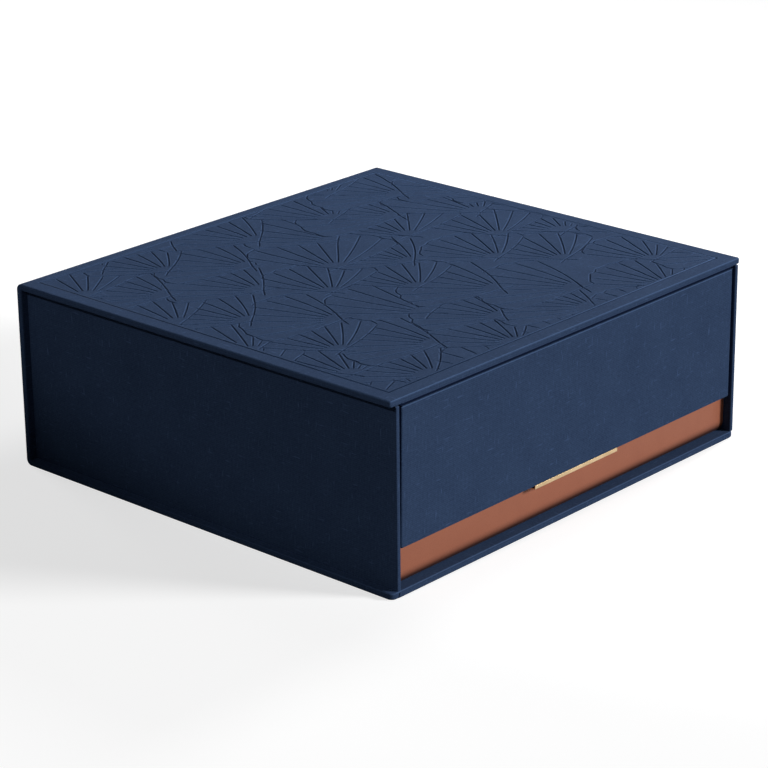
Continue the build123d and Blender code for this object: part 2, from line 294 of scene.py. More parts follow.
def makeLiningPaper():
    # Lining paper, dyed in the pulp and calendered: flat and matt, with faint fibres lying all one way
    look = paperLook
    material, tree = newMaterial("liningPaperCalendered")
    u, v = surfacePlane(tree, False)
    place = stretchedPlace(tree, u, v, (1 / (look["fibreLength"] * mm), 1 / (look["fibreWidth"] * mm)))
    fibre = addNode(tree, "ShaderNodeTexNoise", {"Vector": place, "Scale": 1.0, "Detail": 3.0})
    flat = addNode(tree, "ShaderNodeCombineXYZ", {0: u, 1: v})
    cloudy = addNode(tree, "ShaderNodeTexNoise", {"Vector": flat.outputs[0], "Scale": look["cloudPerMetre"],
                                                  "Detail": 3.0})
    share = addNode(tree, "ShaderNodeMath", {0: fibre.outputs[0], 1: cloudy.outputs[0]}, operation="MULTIPLY")
    spread = addNode(tree, "ShaderNodeMapRange", {0: share.outputs[0], 1: look["sheetFrom"],
                                                  2: look["sheetFull"]})
    colour = addNode(tree, "ShaderNodeMix", {0: spread.outputs[0], 6: hexToLinear(look["fibre"]),
                                             7: hexToLinear(look["sheet"])}, data_type="RGBA")
    relief = addNode(tree, "ShaderNodeBump", {"Height": fibre.outputs[0], "Strength": look["reliefStrength"],
                                              "Distance": look["reliefHeight"] * mm})
    surface = addNode(tree, "ShaderNodeBsdfPrincipled", {
        "Base Color": colour.outputs[2], "Roughness": look["roughness"], "Normal": relief.outputs[0],
        "Specular IOR Level": look["gloss"]})
    addNode(tree, "ShaderNodeOutputMaterial", {"Surface": surface.outputs[0]})
    return material


greyboardLook = {
    "pulp": "#7F786D",
    "fleck": "#A39B8E",
    "fleckPerMetre": 900.0,
    "fleckFrom": 0.35,          # the noise at which a fleck begins, and where it is full
    "fleckFull": 0.65,
    "reliefHeight": 0.1,        # mm
    "reliefStrength": 0.5,
    "roughness": 0.95,
    "gloss": 0.2,
}


def makeGreyboard():
    # Greyboard, pressed from recycled pulp: dull grey-brown with flecks, rough where it is cut
    look = greyboardLook
    material, tree = newMaterial("greyboardPressed")
    place = addNode(tree, "ShaderNodeTexCoord")
    fleck = addNode(tree, "ShaderNodeTexNoise", {"Vector": place.outputs["Object"],
                                                 "Scale": look["fleckPerMetre"], "Detail": 3.0})
    spread = addNode(tree, "ShaderNodeMapRange", {0: fleck.outputs[0], 1: look["fleckFrom"],
                                                  2: look["fleckFull"]})
    colour = addNode(tree, "ShaderNodeMix", {0: spread.outputs[0], 6: hexToLinear(look["pulp"]),
                                             7: hexToLinear(look["fleck"])}, data_type="RGBA")
    relief = addNode(tree, "ShaderNodeBump", {"Height": fleck.outputs[0], "Strength": look["reliefStrength"],
                                              "Distance": look["reliefHeight"] * mm})
    surface = addNode(tree, "ShaderNodeBsdfPrincipled", {
        "Base Color": colour.outputs[2], "Roughness": look["roughness"], "Normal": relief.outputs[0],
        "Specular IOR Level": look["gloss"]})
    addNode(tree, "ShaderNodeOutputMaterial", {"Surface": surface.outputs[0]})
    return material


brassLook = {
    "metal": "#CCB28C",
    "tarnish": "#A98B5F",
    "brushSpacing": 0.12,       # mm between brush lines, which run along the bar
    "brushPerMetre": 60.0,      # how often a line changes along its length
    "tarnishPerMetre": 120.0,
    "tarnishFrom": 0.45,        # the noise at which tarnish begins, and where it is full
    "tarnishFull": 0.8,
    "tarnishShare": 0.5,
    "reliefHeight": 0.02,       # mm
    "reliefStrength": 0.25,
    "roughness": 0.32,
    "roughnessChange": 0.2,     # between one brush line and another
}


def makeBrass():
    # Brass, brushed along its length and lacquered: warm, with a long soft highlight across the brush lines
    look = brassLook
    material, tree = newMaterial("brassBrushed")
    place = addNode(tree, "ShaderNodeTexCoord")
    fine = 1 / (look["brushSpacing"] * mm)
    lines = addNode(tree, "ShaderNodeVectorMath", operation="MULTIPLY",
                    links={0: place.outputs["Object"], 1: (look["brushPerMetre"], fine, fine)})
    brush = addNode(tree, "ShaderNodeTexNoise", {"Vector": lines.outputs[0], "Scale": 1.0, "Detail": 2.0})
    cloud = addNode(tree, "ShaderNodeTexNoise", {"Vector": place.outputs["Object"],
                                                 "Scale": look["tarnishPerMetre"], "Detail": 2.0})
    share = addNode(tree, "ShaderNodeMapRange", {0: cloud.outputs[0], 1: look["tarnishFrom"],
                                                 2: look["tarnishFull"], 3: 0.0, 4: look["tarnishShare"]})
    colour = addNode(tree, "ShaderNodeMix", {0: share.outputs[0], 6: hexToLinear(look["metal"]),
                                             7: hexToLinear(look["tarnish"])}, data_type="RGBA")
    change = look["roughnessChange"]
    rough = addNode(tree, "ShaderNodeMath", operation="MULTIPLY_ADD",
                    links={0: brush.outputs[0], 1: change, 2: look["roughness"] - change / 2})
    relief = addNode(tree, "ShaderNodeBump", {"Height": brush.outputs[0], "Strength": look["reliefStrength"],
                                              "Distance": look["reliefHeight"] * mm})
    surface = addNode(tree, "ShaderNodeBsdfPrincipled", {
        "Base Color": colour.outputs[2], "Metallic": 1.0, "Roughness": rough.outputs[0],
        "Normal": relief.outputs[0]})
    addNode(tree, "ShaderNodeOutputMaterial", {"Surface": surface.outputs[0]})
    return material


nickelLook = {
    "plating": "#C9C6BE",
    "scratchPerMetre": 2500.0,
    "roughness": 0.1,           # between the scratches
    "scratchRoughness": 0.25,
}


def makeNickel():
    # Magnet discs, nickel plated: bright pale metal with fine tumbling scratches
    look = nickelLook
    material, tree = newMaterial("nickelPlated")
    place = addNode(tree, "ShaderNodeTexCoord")
    scratch = addNode(tree, "ShaderNodeTexNoise", {"Vector": place.outputs["Object"],
                                                   "Scale": look["scratchPerMetre"], "Detail": 2.0})
    rough = addNode(tree, "ShaderNodeMath", {0: scratch.outputs[0], 1: look["scratchRoughness"],
                                             2: look["roughness"]}, operation="MULTIPLY_ADD")
    surface = addNode(tree, "ShaderNodeBsdfPrincipled", {
        "Base Color": hexToLinear(look["plating"]), "Metallic": 1.0, "Roughness": rough.outputs[0]})
    addNode(tree, "ShaderNodeOutputMaterial", {"Surface": surface.outputs[0]})
    return material


bookCloth = makeBookCloth("bookClothWoven")
hingeCloth = makeBookCloth("bookClothWovenHinge", onUv=True)
finishes = {
    "book_cloth": bookCloth,
    "greyboard": makeGreyboard(),
    "lining_paper": makeLiningPaper(),
    "leatherette": makeLeatherette(),
    "magnet": makeNickel(),
    "brass": makeBrass(),
}
slotOf = {part["node"]: part["material_slot"] for part in frame["record"]["subparts"]}
for node, piece in frame["nodes"].items():
    for materialSlot in piece.material_slots:
        materialSlot.material = finishes[slotOf[node]]
print("materials made:", len(finishes) + 1)


# Pieces

def copyNode(node):
    # the node's own shape with its loose triangles joined into a closed mesh
    bm = bmesh.new()
    bm.from_mesh(frame["nodes"][node].data)
    bmesh.ops.remove_doubles(bm, verts=bm.verts, dist=weld)
    return bm


def addPiece(name, bm, material, body, replaced):
    mesh = bpy.data.meshes.new(name)
    bm.to_mesh(mesh)
    bm.free()
    mesh.materials.append(material)
    piece = bpy.data.objects.new(name, mesh)
    scene.collection.objects.link(piece)
    if body:
        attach(piece, body)
    if replaced:
        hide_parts(*replaced)
    print("piece made:", name, len(mesh.vertices), "vertices")
    return piece


def shadeByAngle(piece, degrees):
    # smooth but for the edges sharper than this, with the flats kept flat
    for face in piece.data.polygons:
        face.use_smooth = True
    piece.data.set_sharp_from_angle(angle=math.radians(degrees))
    weights = piece.modifiers.new("flats", "WEIGHTED_NORMAL")
    weights.keep_sharp = True


edgeWearAndHighlight = {
    "lid": 0.25,                # how pale the edges are, worn and with a painted highlight; 1 would show the pale colour alone
    "flap": 0.4,
    "box": 0.2,
    "flatFrom": 0.96,           # a normal with this much along one axis is on a flat
    "fade": 0.15,               # how much less of it there is where the paling is full
    "roundFrom": 0.8,           # faces whose normals agree less than this meet in a cut edge, not a round
}


def markWornLitEdges(bm, amount):
    # marks the cloth that rounds the edges of a board, which the material shows paler: wear with a painted
    # highlight
    wearAndHighlight = bm.verts.layers.float.new("wearAndHighlight")
    for vert in bm.verts:
        steepest = max(abs(c) for c in vert.normal)
        rounded = all(face.normal.dot(vert.normal) > edgeWearAndHighlight["roundFrom"] for face in vert.link_faces)
        share = min(1.0, max(0.0, (edgeWearAndHighlight["flatFrom"] - steepest) / edgeWearAndHighlight["fade"]))
        vert[wearAndHighlight] = amount * share if rounded else 0.0


flapSlack = {"top": 0.3, "foot": 1.2, "within": 2.0}    # mm that the cloth stands off at its left edge


def makeWornLitCloth(node, body):
    bm = copyNode(node)
    bmesh.ops.recalc_face_normals(bm, faces=bm.faces)
    if body == "flap":
        low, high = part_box(node)
        for vert in bm.verts:
            if vert.co.x < low.x + flapSlack["within"] * mm:
                share = (vert.co.z - low.z) / (high.z - low.z)
                vert.co.x -= (flapSlack["foot"] + (flapSlack["top"] - flapSlack["foot"]) * share) * mm
    markWornLitEdges(bm, edgeWearAndHighlight[body])
    piece = addPiece(node + "_worn_lit", bm, bookCloth, body, [node])
    shadeByAngle(piece, degrees=40)


makeWornLitCloth("flap_cloth", "flap")
makeWornLitCloth("base_cloth", "box")


# Scattered fans pressed into the cloth of the lid: a traditional ornament, laid out by rule
fans = {
    "radius": 46.0,             # mm, pivot to edge
    "spread": 106.0,            # degrees between the outer ribs
    "ribs": 9,
    "rowPitch": 27.0,           # mm
    "columnPitch": 54.0,        # mm
    "firstRow": 0.7,            # of the radius, how far in front of the field the rows start
    "pastField": 5.0,           # mm behind the field where they end
    "strayAcross": 5.0,         # mm that a fan strays from its place
    "strayDeep": 4.0,
    "turn": 34.0,               # degrees either way
    "sizeChange": 0.18,
    "scallop": 1.6,             # mm that the edge swells between two ribs
    "cornerDrop": 0.12,         # of the radius, how far the edge falls back at the outer ribs
    "stem": 0.16,               # of the radius, how far the outer ribs run on past the pivot
    "ribStart": 0.17,           # of the radius, where the other ribs begin
    "bow": 0.035,               # of the radius, how much the outer ribs bow
    "hub": 0.06,                # of the radius, the part round the pivot that covers what is under it
    "reach": 2.3,               # of the radius, how near another fan has to be to cover part of it
    "seed": 11,
    "lineWidth": 1.2,           # mm, crest to crest
    "lineDepth": 0.36,          # mm
    "crestWidth": 0.4,          # mm, the cloth pushed up beside a line
    "crestHeight": 0.11,        # mm
    "crestWearAndHighlight": 0.25,          # how much paler the crests are, rubbed and with a painted highlight
    "floorShade": 0.7,              # painted shade: how much darker the cloth is painted along a line's floor
    "fieldInset": 6.2,          # mm from the edges of the lid to the pressed field
    "framePlace": 1.6,          # mm from the edge of the pressed field to the frame line
    "frameWeight": 1.6,         # how much deeper the frame line is pressed
    "margin": 1.2,              # mm from the frame line to the ends of the ribs
    "step": 0.6,                # mm between tests along a line
    "frameStep": 0.15,          # mm, the same on the frame line
    "pointSpacing": 3.6,        # mm between points kept on a line
    "shortest": 4,              # points in the shortest stretch that is pressed
}


def fanLayout(fieldLow, fieldHigh):
    # staggered rows from front to back; later fans lie on top of earlier ones
    draw = random.Random(fans["seed"])
    layout = []
    y = fieldLow.y - fans["radius"] * fans["firstRow"]
    row = 0
    while y < fieldHigh.y + fans["pastField"]:
        x = fieldLow.x - fans["columnPitch"] * (0.5 if row % 2 else 0.0)
        while x < fieldHigh.x + fans["columnPitch"]:
            place = Vector((x + draw.uniform(-fans["strayAcross"], fans["strayAcross"]),
                            y + draw.uniform(-fans["strayDeep"], fans["strayDeep"])))
            turn = math.radians(90 + draw.uniform(-fans["turn"], fans["turn"]))
            size = fans["radius"] * (1 + draw.uniform(-fans["sizeChange"], fans["sizeChange"]))
            layout.append((place, turn, size))
            x += fans["columnPitch"]
        y += fans["rowPitch"]
        row += 1
    return layout


def fanEdge(size, share):
    # the scalloped edge: the distance from the pivot at a share of the spread
    between = (share * (fans["ribs"] - 1)) % 1.0
    drop = fans["cornerDrop"] * size * abs(2 * share - 1) ** 3
    return size + fans["scallop"] * math.sin(math.pi * between) - drop


def fanLines(place, turn, size):
    # ribs and edge of one fan, each a list of points close together
    half = math.radians(fans["spread"] / 2)
    lines = []
    for rib in range(fans["ribs"]):
        share = rib / (fans["ribs"] - 1)
        angle = turn - half + 2 * half * share
        edge = fanEdge(size, share)
        outer = rib in (0, fans["ribs"] - 1)
        start = -fans["stem"] * size if outer else fans["ribStart"] * size
        bow = fans["bow"] * size * (share - 0.5)
        steps = max(int((edge - start) / fans["step"]), 2)
        line = []
        for i in range(steps + 1):
            r = start + (edge - start) * i / steps
            side = bow * math.sin(math.pi * max(r, 0) / edge) * 2
            line.append(place + Vector((r * math.cos(angle) - side * math.sin(angle),
                                        r * math.sin(angle) + side * math.cos(angle))))
        lines.append(line)
    steps = int(2 * half * size / fans["step"])
    edge = []
    for i in range(steps + 1):
        share = i / steps
        angle = turn - half + 2 * half * share
        r = fanEdge(size, share)
        edge.append(place + Vector((r * math.cos(angle), r * math.sin(angle))))
    lines.append(edge)
    return lines


def insideFan(point, fan):
    place, turn, size = fan
    away = point - place
    r = away.length
    if r > size + fans["scallop"]:
        return False
    if r < fans["hub"] * size:
        return True
    angle = (math.atan2(away.y, away.x) - turn + math.pi) % (2 * math.pi) - math.pi
    half = math.radians(fans["spread"] / 2)
    if abs(angle) > half:
        return False
    return r < fanEdge(size, (angle + half) / (2 * half))


def visibleRuns(line, above, low, high):
    # the stretches of a line that lie in the field and under no later fan
    runs, run = [], []
    for point in line:
        seen = low.x < point.x < high.x and low.y < point.y < high.y
        if seen and not any(insideFan(point, fan) for fan in above):
            run.append(point)
        else:
            runs.append(run)
            run = []
    runs.append(run)
    return [run for run in runs if len(run) >= fans["shortest"]]


def fanRuns(fieldLow, fieldHigh):
    # every stretch of line that shows, in mm
    layout = fanLayout(fieldLow, fieldHigh)
    runs = []
    for index, (place, turn, size) in enumerate(layout):
        near = [fan for fan in layout[index + 1:] if (fan[0] - place).length < fans["reach"] * size]
        for line in fanLines(place, turn, size):
            runs += visibleRuns(line, near, fieldLow, fieldHigh)
    print("fans pressed:", len(layout), "lines:", len(runs))
    return runs


def thinned(run):
    # ends, a point just inside each end where the groove reaches full width, and points along the way
    stride = max(round(fans["pointSpacing"] / fans["step"]), 1)
    inner = list(range(2, len(run) - 2, stride))
    if not inner or inner[-1] != len(run) - 3:
        inner.append(len(run) - 3)
    keep = [0] + [i for i in sorted(set(inner)) if 0 < i < len(run) - 1] + [len(run) - 1]
    return [run[i] for i in keep]


def addRun(points, edges, run, offsets):
    # parallel lines either side of a run, which meet at its two ends
    kept = thinned(run)
    first = len(points)
    points += [kept[0], kept[-1]]
    for offset in offsets:
        before = first
        for i in range(1, len(kept) - 1):
            along = (kept[i + 1] - kept[i - 1]).normalized()
            points.append(kept[i] + Vector((-along.y, along.x)) * offset)
            edges.append((before, len(points) - 1))
            before = len(points) - 1
        edges.append((before, first + 1))


def takeOutField(bm, low, high, top):
    # cuts the flat of the lid along the sides of the pressed field and takes the field out
    spare = 0.01 * mm
    plainLine = 0.2 * mm        # more than the depth of the frame line in the node's own shape
    for corner in (low, high):
        for side in ((1, 0, 0), (0, 1, 0)):
            level = [f for f in bm.faces if all(v.co.z > top - spare for v in f.verts)]
            edges = {e for f in level for e in f.edges}
            verts = {v for f in level for v in f.verts}
            bmesh.ops.bisect_plane(bm, geom=[*level, *edges, *verts], dist=weld, plane_no=side,
                                   plane_co=(corner.x, corner.y, top))
    field = [f for f in bm.faces if all(v.co.z > top - plainLine and low.x - spare < v.co.x < high.x + spare
                                        and low.y - spare < v.co.y < high.y + spare for v in f.verts)]
    bmesh.ops.delete(bm, geom=field, context="FACES")
    loose = [v for v in bm.verts if not v.link_faces]
    bmesh.ops.delete(bm, geom=loose, context="VERTS")


def pressLid():
    bm = copyNode("lid_cloth")
    top = cadHigh.z
    low = cadLow.xy + Vector((fans["fieldInset"], fans["fieldInset"])) * mm
    high = cadHigh.xy - Vector((fans["fieldInset"], fans["fieldInset"])) * mm
    takeOutField(bm, low, high, top)
    sideVerts = [v.co.xy / mm for v in bm.verts if v.is_boundary]

    low, high = low / mm, high / mm
    line = fans["framePlace"]
    corners = [Vector((low.x + line, low.y + line)), Vector((high.x - line, low.y + line)),
               Vector((high.x - line, high.y - line)), Vector((low.x + line, high.y - line))]
    inside = line + fans["margin"]
    runs = fanRuns(low + Vector((inside, inside)), high - Vector((inside, inside)))

    # the groove's cross-section: crests, walls and floor, as parallel lines either side of each run
    half, crest = fans["lineWidth"] / 2, fans["crestWidth"]
    offsets = (-half - crest, -half, -half * 0.5, 0.0, half * 0.5, half, half + crest)
    points = [low, Vector((high.x, low.y)), high, Vector((low.x, high.y)), *sideVerts]
    edges = [(0, 1), (1, 2), (2, 3), (3, 0)]
    centre = []                 # points along the middle of every line, each with its share of the full depth
    for run in runs:
        addRun(points, edges, run, offsets)
        centre += [(p, min(1.0, min(i, len(run) - 1 - i) / 2)) for i, p in enumerate(run)]
    for offset in offsets:      # the frame line runs round without ends
        ring = []
        for corner, (sx, sy) in zip(corners, ((1, 1), (-1, 1), (-1, -1), (1, -1))):
            points.append(corner + Vector((sx, sy)) * offset)
            ring.append(len(points) - 1)
        edges += list(zip(ring, ring[1:] + ring[:1]))
    for a, b in zip(corners, corners[1:] + corners[:1]):
        steps = int((b - a).length / fans["frameStep"])
        centre += [(a.lerp(b, i / steps), fans["frameWeight"]) for i in range(steps)]
    tree = kdtree.KDTree(len(centre))
    for i, (p, _) in enumerate(centre):
        tree.insert((p.x, p.y, 0), i)
    tree.balance()

    # the field is filled with triangles along these lines, each point as deep as its line is there
    near = weld * 2             # points of lines that cross come close to each other
    flat = geometry.delaunay_2d_cdt(points, edges, [], 0, near / mm, False)
    # the field's new points, each with its share of painted shade along the floors of the lines
    shadeLayer = bm.verts.layers.float.new("pressed")
    pressed = []
    for p in flat[0]:
        _, i, away = tree.find((p.x, p.y, 0))
        share = max(0.0, 1 - (away / half) ** 2) ** 2 * centre[i][1]
        raised = max(0.0, 1 - abs(away - half) / crest) * centre[i][1]
        height = fans["crestHeight"] * raised - fans["lineDepth"] * share
        pressed.append(bm.verts.new((p.x * mm, p.y * mm, top + height * mm)))
        pressed[-1][shadeLayer] = fans["floorShade"] * share
    for a, b, c in flat[2]:
        bm.faces.new((pressed[a], pressed[b], pressed[c]))
    bmesh.ops.remove_doubles(bm, verts=bm.verts, dist=near)
    bmesh.ops.recalc_face_normals(bm, faces=bm.faces)
    markWornLitEdges(bm, edgeWearAndHighlight["lid"])
    wearAndHighlight = bm.verts.layers.float["wearAndHighlight"]
    shadeLayer = bm.verts.layers.float["pressed"]
    # the crests beside the lines are painted paler: wear with a painted highlight
    for vert in bm.verts:
        raised = (vert.co.z - top) / (fans["crestHeight"] * mm)
        if vert[shadeLayer] > 0 or raised > 0.01:        # the rest keeps the paled edges of the lid, worn and with a painted highlight
            vert[wearAndHighlight] = fans["crestWearAndHighlight"] * max(0.0, raised)
    piece = addPiece("lid_cloth_pressed", bm, bookCloth, "lid", ["lid_cloth"])
    shadeByAngle(piece, degrees=50)


pressLid()


hinges = {
    "cloth": 0.3,               # mm
    "foldSteps": 18,
    "edgeRadius": 0.8,          # mm, where the cloth rounds the ends of the boards
    "edgeSteps": 4,
    "dip": 0.9,                 # mm that the joint's cloth runs in before it turns back
    "shade": 1.0,               # how dark the painted shade in the joint is
}


def openRect(bm, low, high):
    # a flat between two corners that agree in one of x, y and z
    spans = [axis for axis in range(3) if abs(high[axis] - low[axis]) > 1e-9]
    corners = []
    for first, second in ((0, 0), (1, 0), (1, 1), (0, 1)):
        place = list(low)
        place[spans[0]] = (low, high)[first][spans[0]]
        place[spans[1]] = (low, high)[second][spans[1]]
        corners.append(bm.verts.new(place))
    return bm.faces.new(corners)


def spinFlat(bm, flat, centre, turn, steps):
    # about a line along X through the centre's y and z
    grown = bmesh.ops.spin(bm, geom=[flat, *flat.edges, *flat.verts], cent=(0, *centre), axis=(1, 0, 0),
                           angle=math.radians(turn), steps=steps)
    return next(item for item in grown["geom_last"] if isinstance(item, bmesh.types.BMFace))


def slideFlat(bm, flat, move):
    joined = any(len(edge.link_faces) == 2 for edge in flat.edges)
    grown = bmesh.ops.extrude_face_region(bm, geom=[flat])["geom"]
    bmesh.ops.translate(bm, vec=move, verts=[v for v in grown if isinstance(v, bmesh.types.BMVert)])
    if joined:
        bmesh.ops.delete(bm, geom=[flat], context="FACES_ONLY")     # it would be left inside the piece
    return next(item for item in grown if isinstance(item, bmesh.types.BMFace))


def layCloth(bm):
    # closes the piece and runs the weave round the bend
    bmesh.ops.remove_doubles(bm, verts=bm.verts, dist=weld)
    bmesh.ops.recalc_face_normals(bm, faces=bm.faces)
    uv = bm.loops.layers.uv.new("cloth")
    for face in bm.faces:
        for loop in face.loops:
            place = loop.vert.co
            loop[uv].uv = (place.x, place.z - place.y)


def makeCornerFold():
    # cloth that rounds the upper back corner, with its edges rounded over the ends of the boards
    cloth, rounded = hinges["cloth"] * mm, hinges["edgeRadius"] * mm
    low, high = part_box("lid_hinge_cloth")
    rim = high.y - rounded * 1.05           # just past the round
    bm = bmesh.new()
    outline = [(low.x, rim), (low.x, high.y), (high.x, high.y), (high.x, rim),
               (high.x - cloth, rim), (high.x - cloth, high.y - cloth), (low.x + cloth, high.y - cloth),
               (low.x + cloth, rim)]
    corners = [bm.verts.new((x, y, low.z)) for x, y in outline]
    bm.faces.new(corners)
    for turned, radius in ((corners[1:3], rounded), (corners[5:7], rounded - cloth)):
        bmesh.ops.bevel(bm, geom=turned, offset=radius, offset_type="OFFSET", segments=hinges["edgeSteps"],
                        profile=0.5, affect="VERTICES", material=-1)
    spinFlat(bm, bm.faces[:][0], (low.y, low.z), 90, hinges["foldSteps"])
    layCloth(bm)
    piece = addPiece("lid_hinge_cloth_fold", bm, hingeCloth, None, ["lid_hinge_cloth"])
    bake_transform(piece, "box", "lid", start=(0, high.y, low.z), end=(0, low.y, high.z))
    shadeByAngle(piece, degrees=50)

    # the rest of the corner's ends: one half stays on the spine's board, the other turns with the lid's
    for name, body, start in (("spine_corner_ends", "box", 0), ("lid_corner_ends", "lid", 45)):
        bm = bmesh.new()
        for x in (low.x, high.x - cloth):
            flat = openRect(bm, (x, low.y, low.z), (x + cloth, rim, low.z))
            bmesh.ops.rotate(bm, verts=flat.verts, cent=(0, low.y, low.z),
                             matrix=Matrix.Rotation(math.radians(start), 3, "X"))
            spinFlat(bm, flat, (low.y, low.z), 45, hinges["foldSteps"] // 2)
        layCloth(bm)
        piece = addPiece(name, bm, hingeCloth, body, [])
        shadeByAngle(piece, degrees=50)


def makeJointDip():
    # cloth dipped into the joint, from the lid's front edge to the flap
    cloth, dip = hinges["cloth"] * mm, hinges["dip"] * mm
    low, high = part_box("flap_hinge_cloth")
    bm = bmesh.new()
    flat = openRect(bm, (low.x, low.y, high.z - cloth), (high.x, low.y, high.z))
    flat = slideFlat(bm, flat, (0, dip, 0))
    flat = spinFlat(bm, flat, (low.y + dip, (low.z + high.z) / 2), -180, hinges["foldSteps"])
    slideFlat(bm, flat, (0, -dip, 0))
    # painted shade on the cloth deep in the joint
    shaded = bm.verts.layers.float.new("pressed")
    for vert in bm.verts:
        vert[shaded] = hinges["shade"] if vert.co.y > low.y + dip / 2 else 0.0
    layCloth(bm)
    piece = addPiece("flap_hinge_cloth_fold", bm, hingeCloth, None, ["flap_hinge_cloth"])
    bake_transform(piece, "lid", "flap", start=(0, low.y, high.z), end=(0, low.y, low.z))
    shadeByAngle(piece, degrees=50)


makeCornerFold()
makeJointDip()


turnIn = {
    "thickness": 0.3,           # mm
    "start": 3.8,               # mm from the side of the base, past its rounded corner
    "lean": 1.1,                # mm that the cut end slants
    "end": 0.5,                 # mm of the end that is painted in shade
    # how dark the painted shade on the ends is
    "shade": 0.5,
    "clear": 0.4,               # mm kept from the top and bottom edges of the board
    "ease": 0.1,                # mm, the round of its cut edges
}


def makeTurnIn():
    # the front of the base has a second layer of cloth, folded over at the corners, whose slanting ends show
    low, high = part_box("base_cloth")
    thickness, clear, start, end = (turnIn[key] * mm for key in ("thickness", "clear", "start", "end"))
    bm = bmesh.new()
    pressed = bm.verts.layers.float.new("pressed")
    flat = openRect(bm, (low.x + start, low.y - thickness, low.z + clear),
                    (low.x + start, low.y, high.z - clear))
    for stride in (end, high.x - low.x - 2 * (start + end), end):
        flat = slideFlat(bm, flat, (stride, 0, 0))
    for vert in bm.verts:
        share = (vert.co.z - low.z) / (high.z - low.z)
        # the slanting ends are painted in shade
        if abs(vert.co.x) > high.x - start - end / 2:
            vert[pressed] = turnIn["shade"]
        vert.co.x -= math.copysign(turnIn["lean"] * mm * share, vert.co.x)
    bmesh.ops.recalc_face_normals(bm, faces=bm.faces)
    sharp = [e for e in bm.edges if e.calc_face_angle() > math.radians(50)]
    bmesh.ops.bevel(bm, geom=sharp, offset=turnIn["ease"] * mm, offset_type="OFFSET", segments=2, profile=0.5,
                    affect="EDGES", material=-1, clamp_overlap=True)
    piece = addPiece("base_front_turn_in", bm, bookCloth, "box", [])
    shadeByAngle(piece, degrees=50)


makeTurnIn()


wallCover = {
    "thickness": 0.3,           # mm
    "wall": 2.0,                # mm of board inside
    "rollHeight": 5.8,          # mm above the foot where the face starts to curl back
    "rollDepth": 1.9,           # mm that the foot lies back
    "rollEase": 3.6,            # how late the curl sets in
    "rollSteps": 16,
    "shadeHeight": 6.6,          # mm above the foot where the painted shade starts
    "shadeSpread": 1.7,          # higher is darker further up
    "shadeEase": 1.6,            # how late the painted shade sets in
    "footDark": 0.9,            # how dark the painted shade at the foot is
    "rimRadius": 0.7,           # mm
    "rimSteps": 5,
    "turnDown": 3.0,            # mm behind the rim
}


def setBack(height):
    # how far the curl lies behind the face, at a height in mm above the foot
    share = max(0.0, 1 - height / wallCover["rollHeight"])
    return wallCover["rollDepth"] * share ** wallCover["rollEase"] * mm


def makeWallCover():
    # leatherette over the front wall: from behind the rim, over it, down the face and curled at the foot
    look = wallCover
    thickness, rim = look["thickness"] * mm, look["rimRadius"] * mm
    low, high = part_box("front_wall_cover")
    behind = low.y + look["wall"] * mm + 2 * thickness
    bm = bmesh.new()
    flat = openRect(bm, (low.x, behind - thickness, high.z - look["turnDown"] * mm),
                    (high.x, behind, high.z - look["turnDown"] * mm))
    flat = slideFlat(bm, flat, (0, 0, look["turnDown"] * mm - rim))
    flat = spinFlat(bm, flat, (behind - rim, high.z - rim), 90, look["rimSteps"])
    flat = slideFlat(bm, flat, (0, low.y - behind + 2 * rim, 0))
    flat = spinFlat(bm, flat, (low.y + rim, high.z - rim), 90, look["rimSteps"])
    roll = look["rollHeight"] * mm
    flat = slideFlat(bm, flat, (0, 0, low.z + roll - high.z + rim))
    for _ in range(look["rollSteps"]):
        flat = slideFlat(bm, flat, (0, 0, -roll / look["rollSteps"]))
    # painted shade at the foot of the curl, deeper than the lamps give
    paintedFootShade = bm.verts.layers.float.new("paintedFootShade")
    for vert in bm.verts:
        height = (vert.co.z - low.z) / mm
        vert.co.y += setBack(height)
        share = max(0.0, 1 - height / look["shadeHeight"])
        vert[paintedFootShade] = look["footDark"] * min(1.0, look["shadeSpread"] * share ** look["shadeEase"])
    layCloth(bm)
    piece = addPiece("front_wall_cover_rolled", bm, finishes["leatherette"], "box",
                     ["front_wall_cover"])
    shadeByAngle(piece, degrees=60)


def cutBoards():
    # the two boards behind the curl give way to it; the wall's starts where some of its thickness is left
    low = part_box("front_wall_cover")[0]
    inner = low.y + wallCover["thickness"] * mm
    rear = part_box("front_wall_board")[1].y
    least = 0.1 * mm
    tenths = next(z for z in range(100) if inner + setBack(z / 10) < rear - least)
    for node, foot in (("front_wall_board", tenths / 10), ("tray_floor_board", 0.0)):
        bm = copyNode(node)
        for vert in bm.verts:
            vert.co.z = max(vert.co.z, low.z + foot * mm)
            vert.co.y = max(vert.co.y, inner + setBack((vert.co.z - low.z) / mm))
        addPiece(node + "_cut", bm, finishes["greyboard"], "box", [node])


makeWallCover()
cutBoards()


bar = {
    "lip": 0.7,                 # mm that it stands up over the flap's face
    "drop": 0.8,                # mm lower than tight against the edge
    "metal": 0.5,               # mm thick
    "ease": 0.1,                # mm, the round of its edges
}


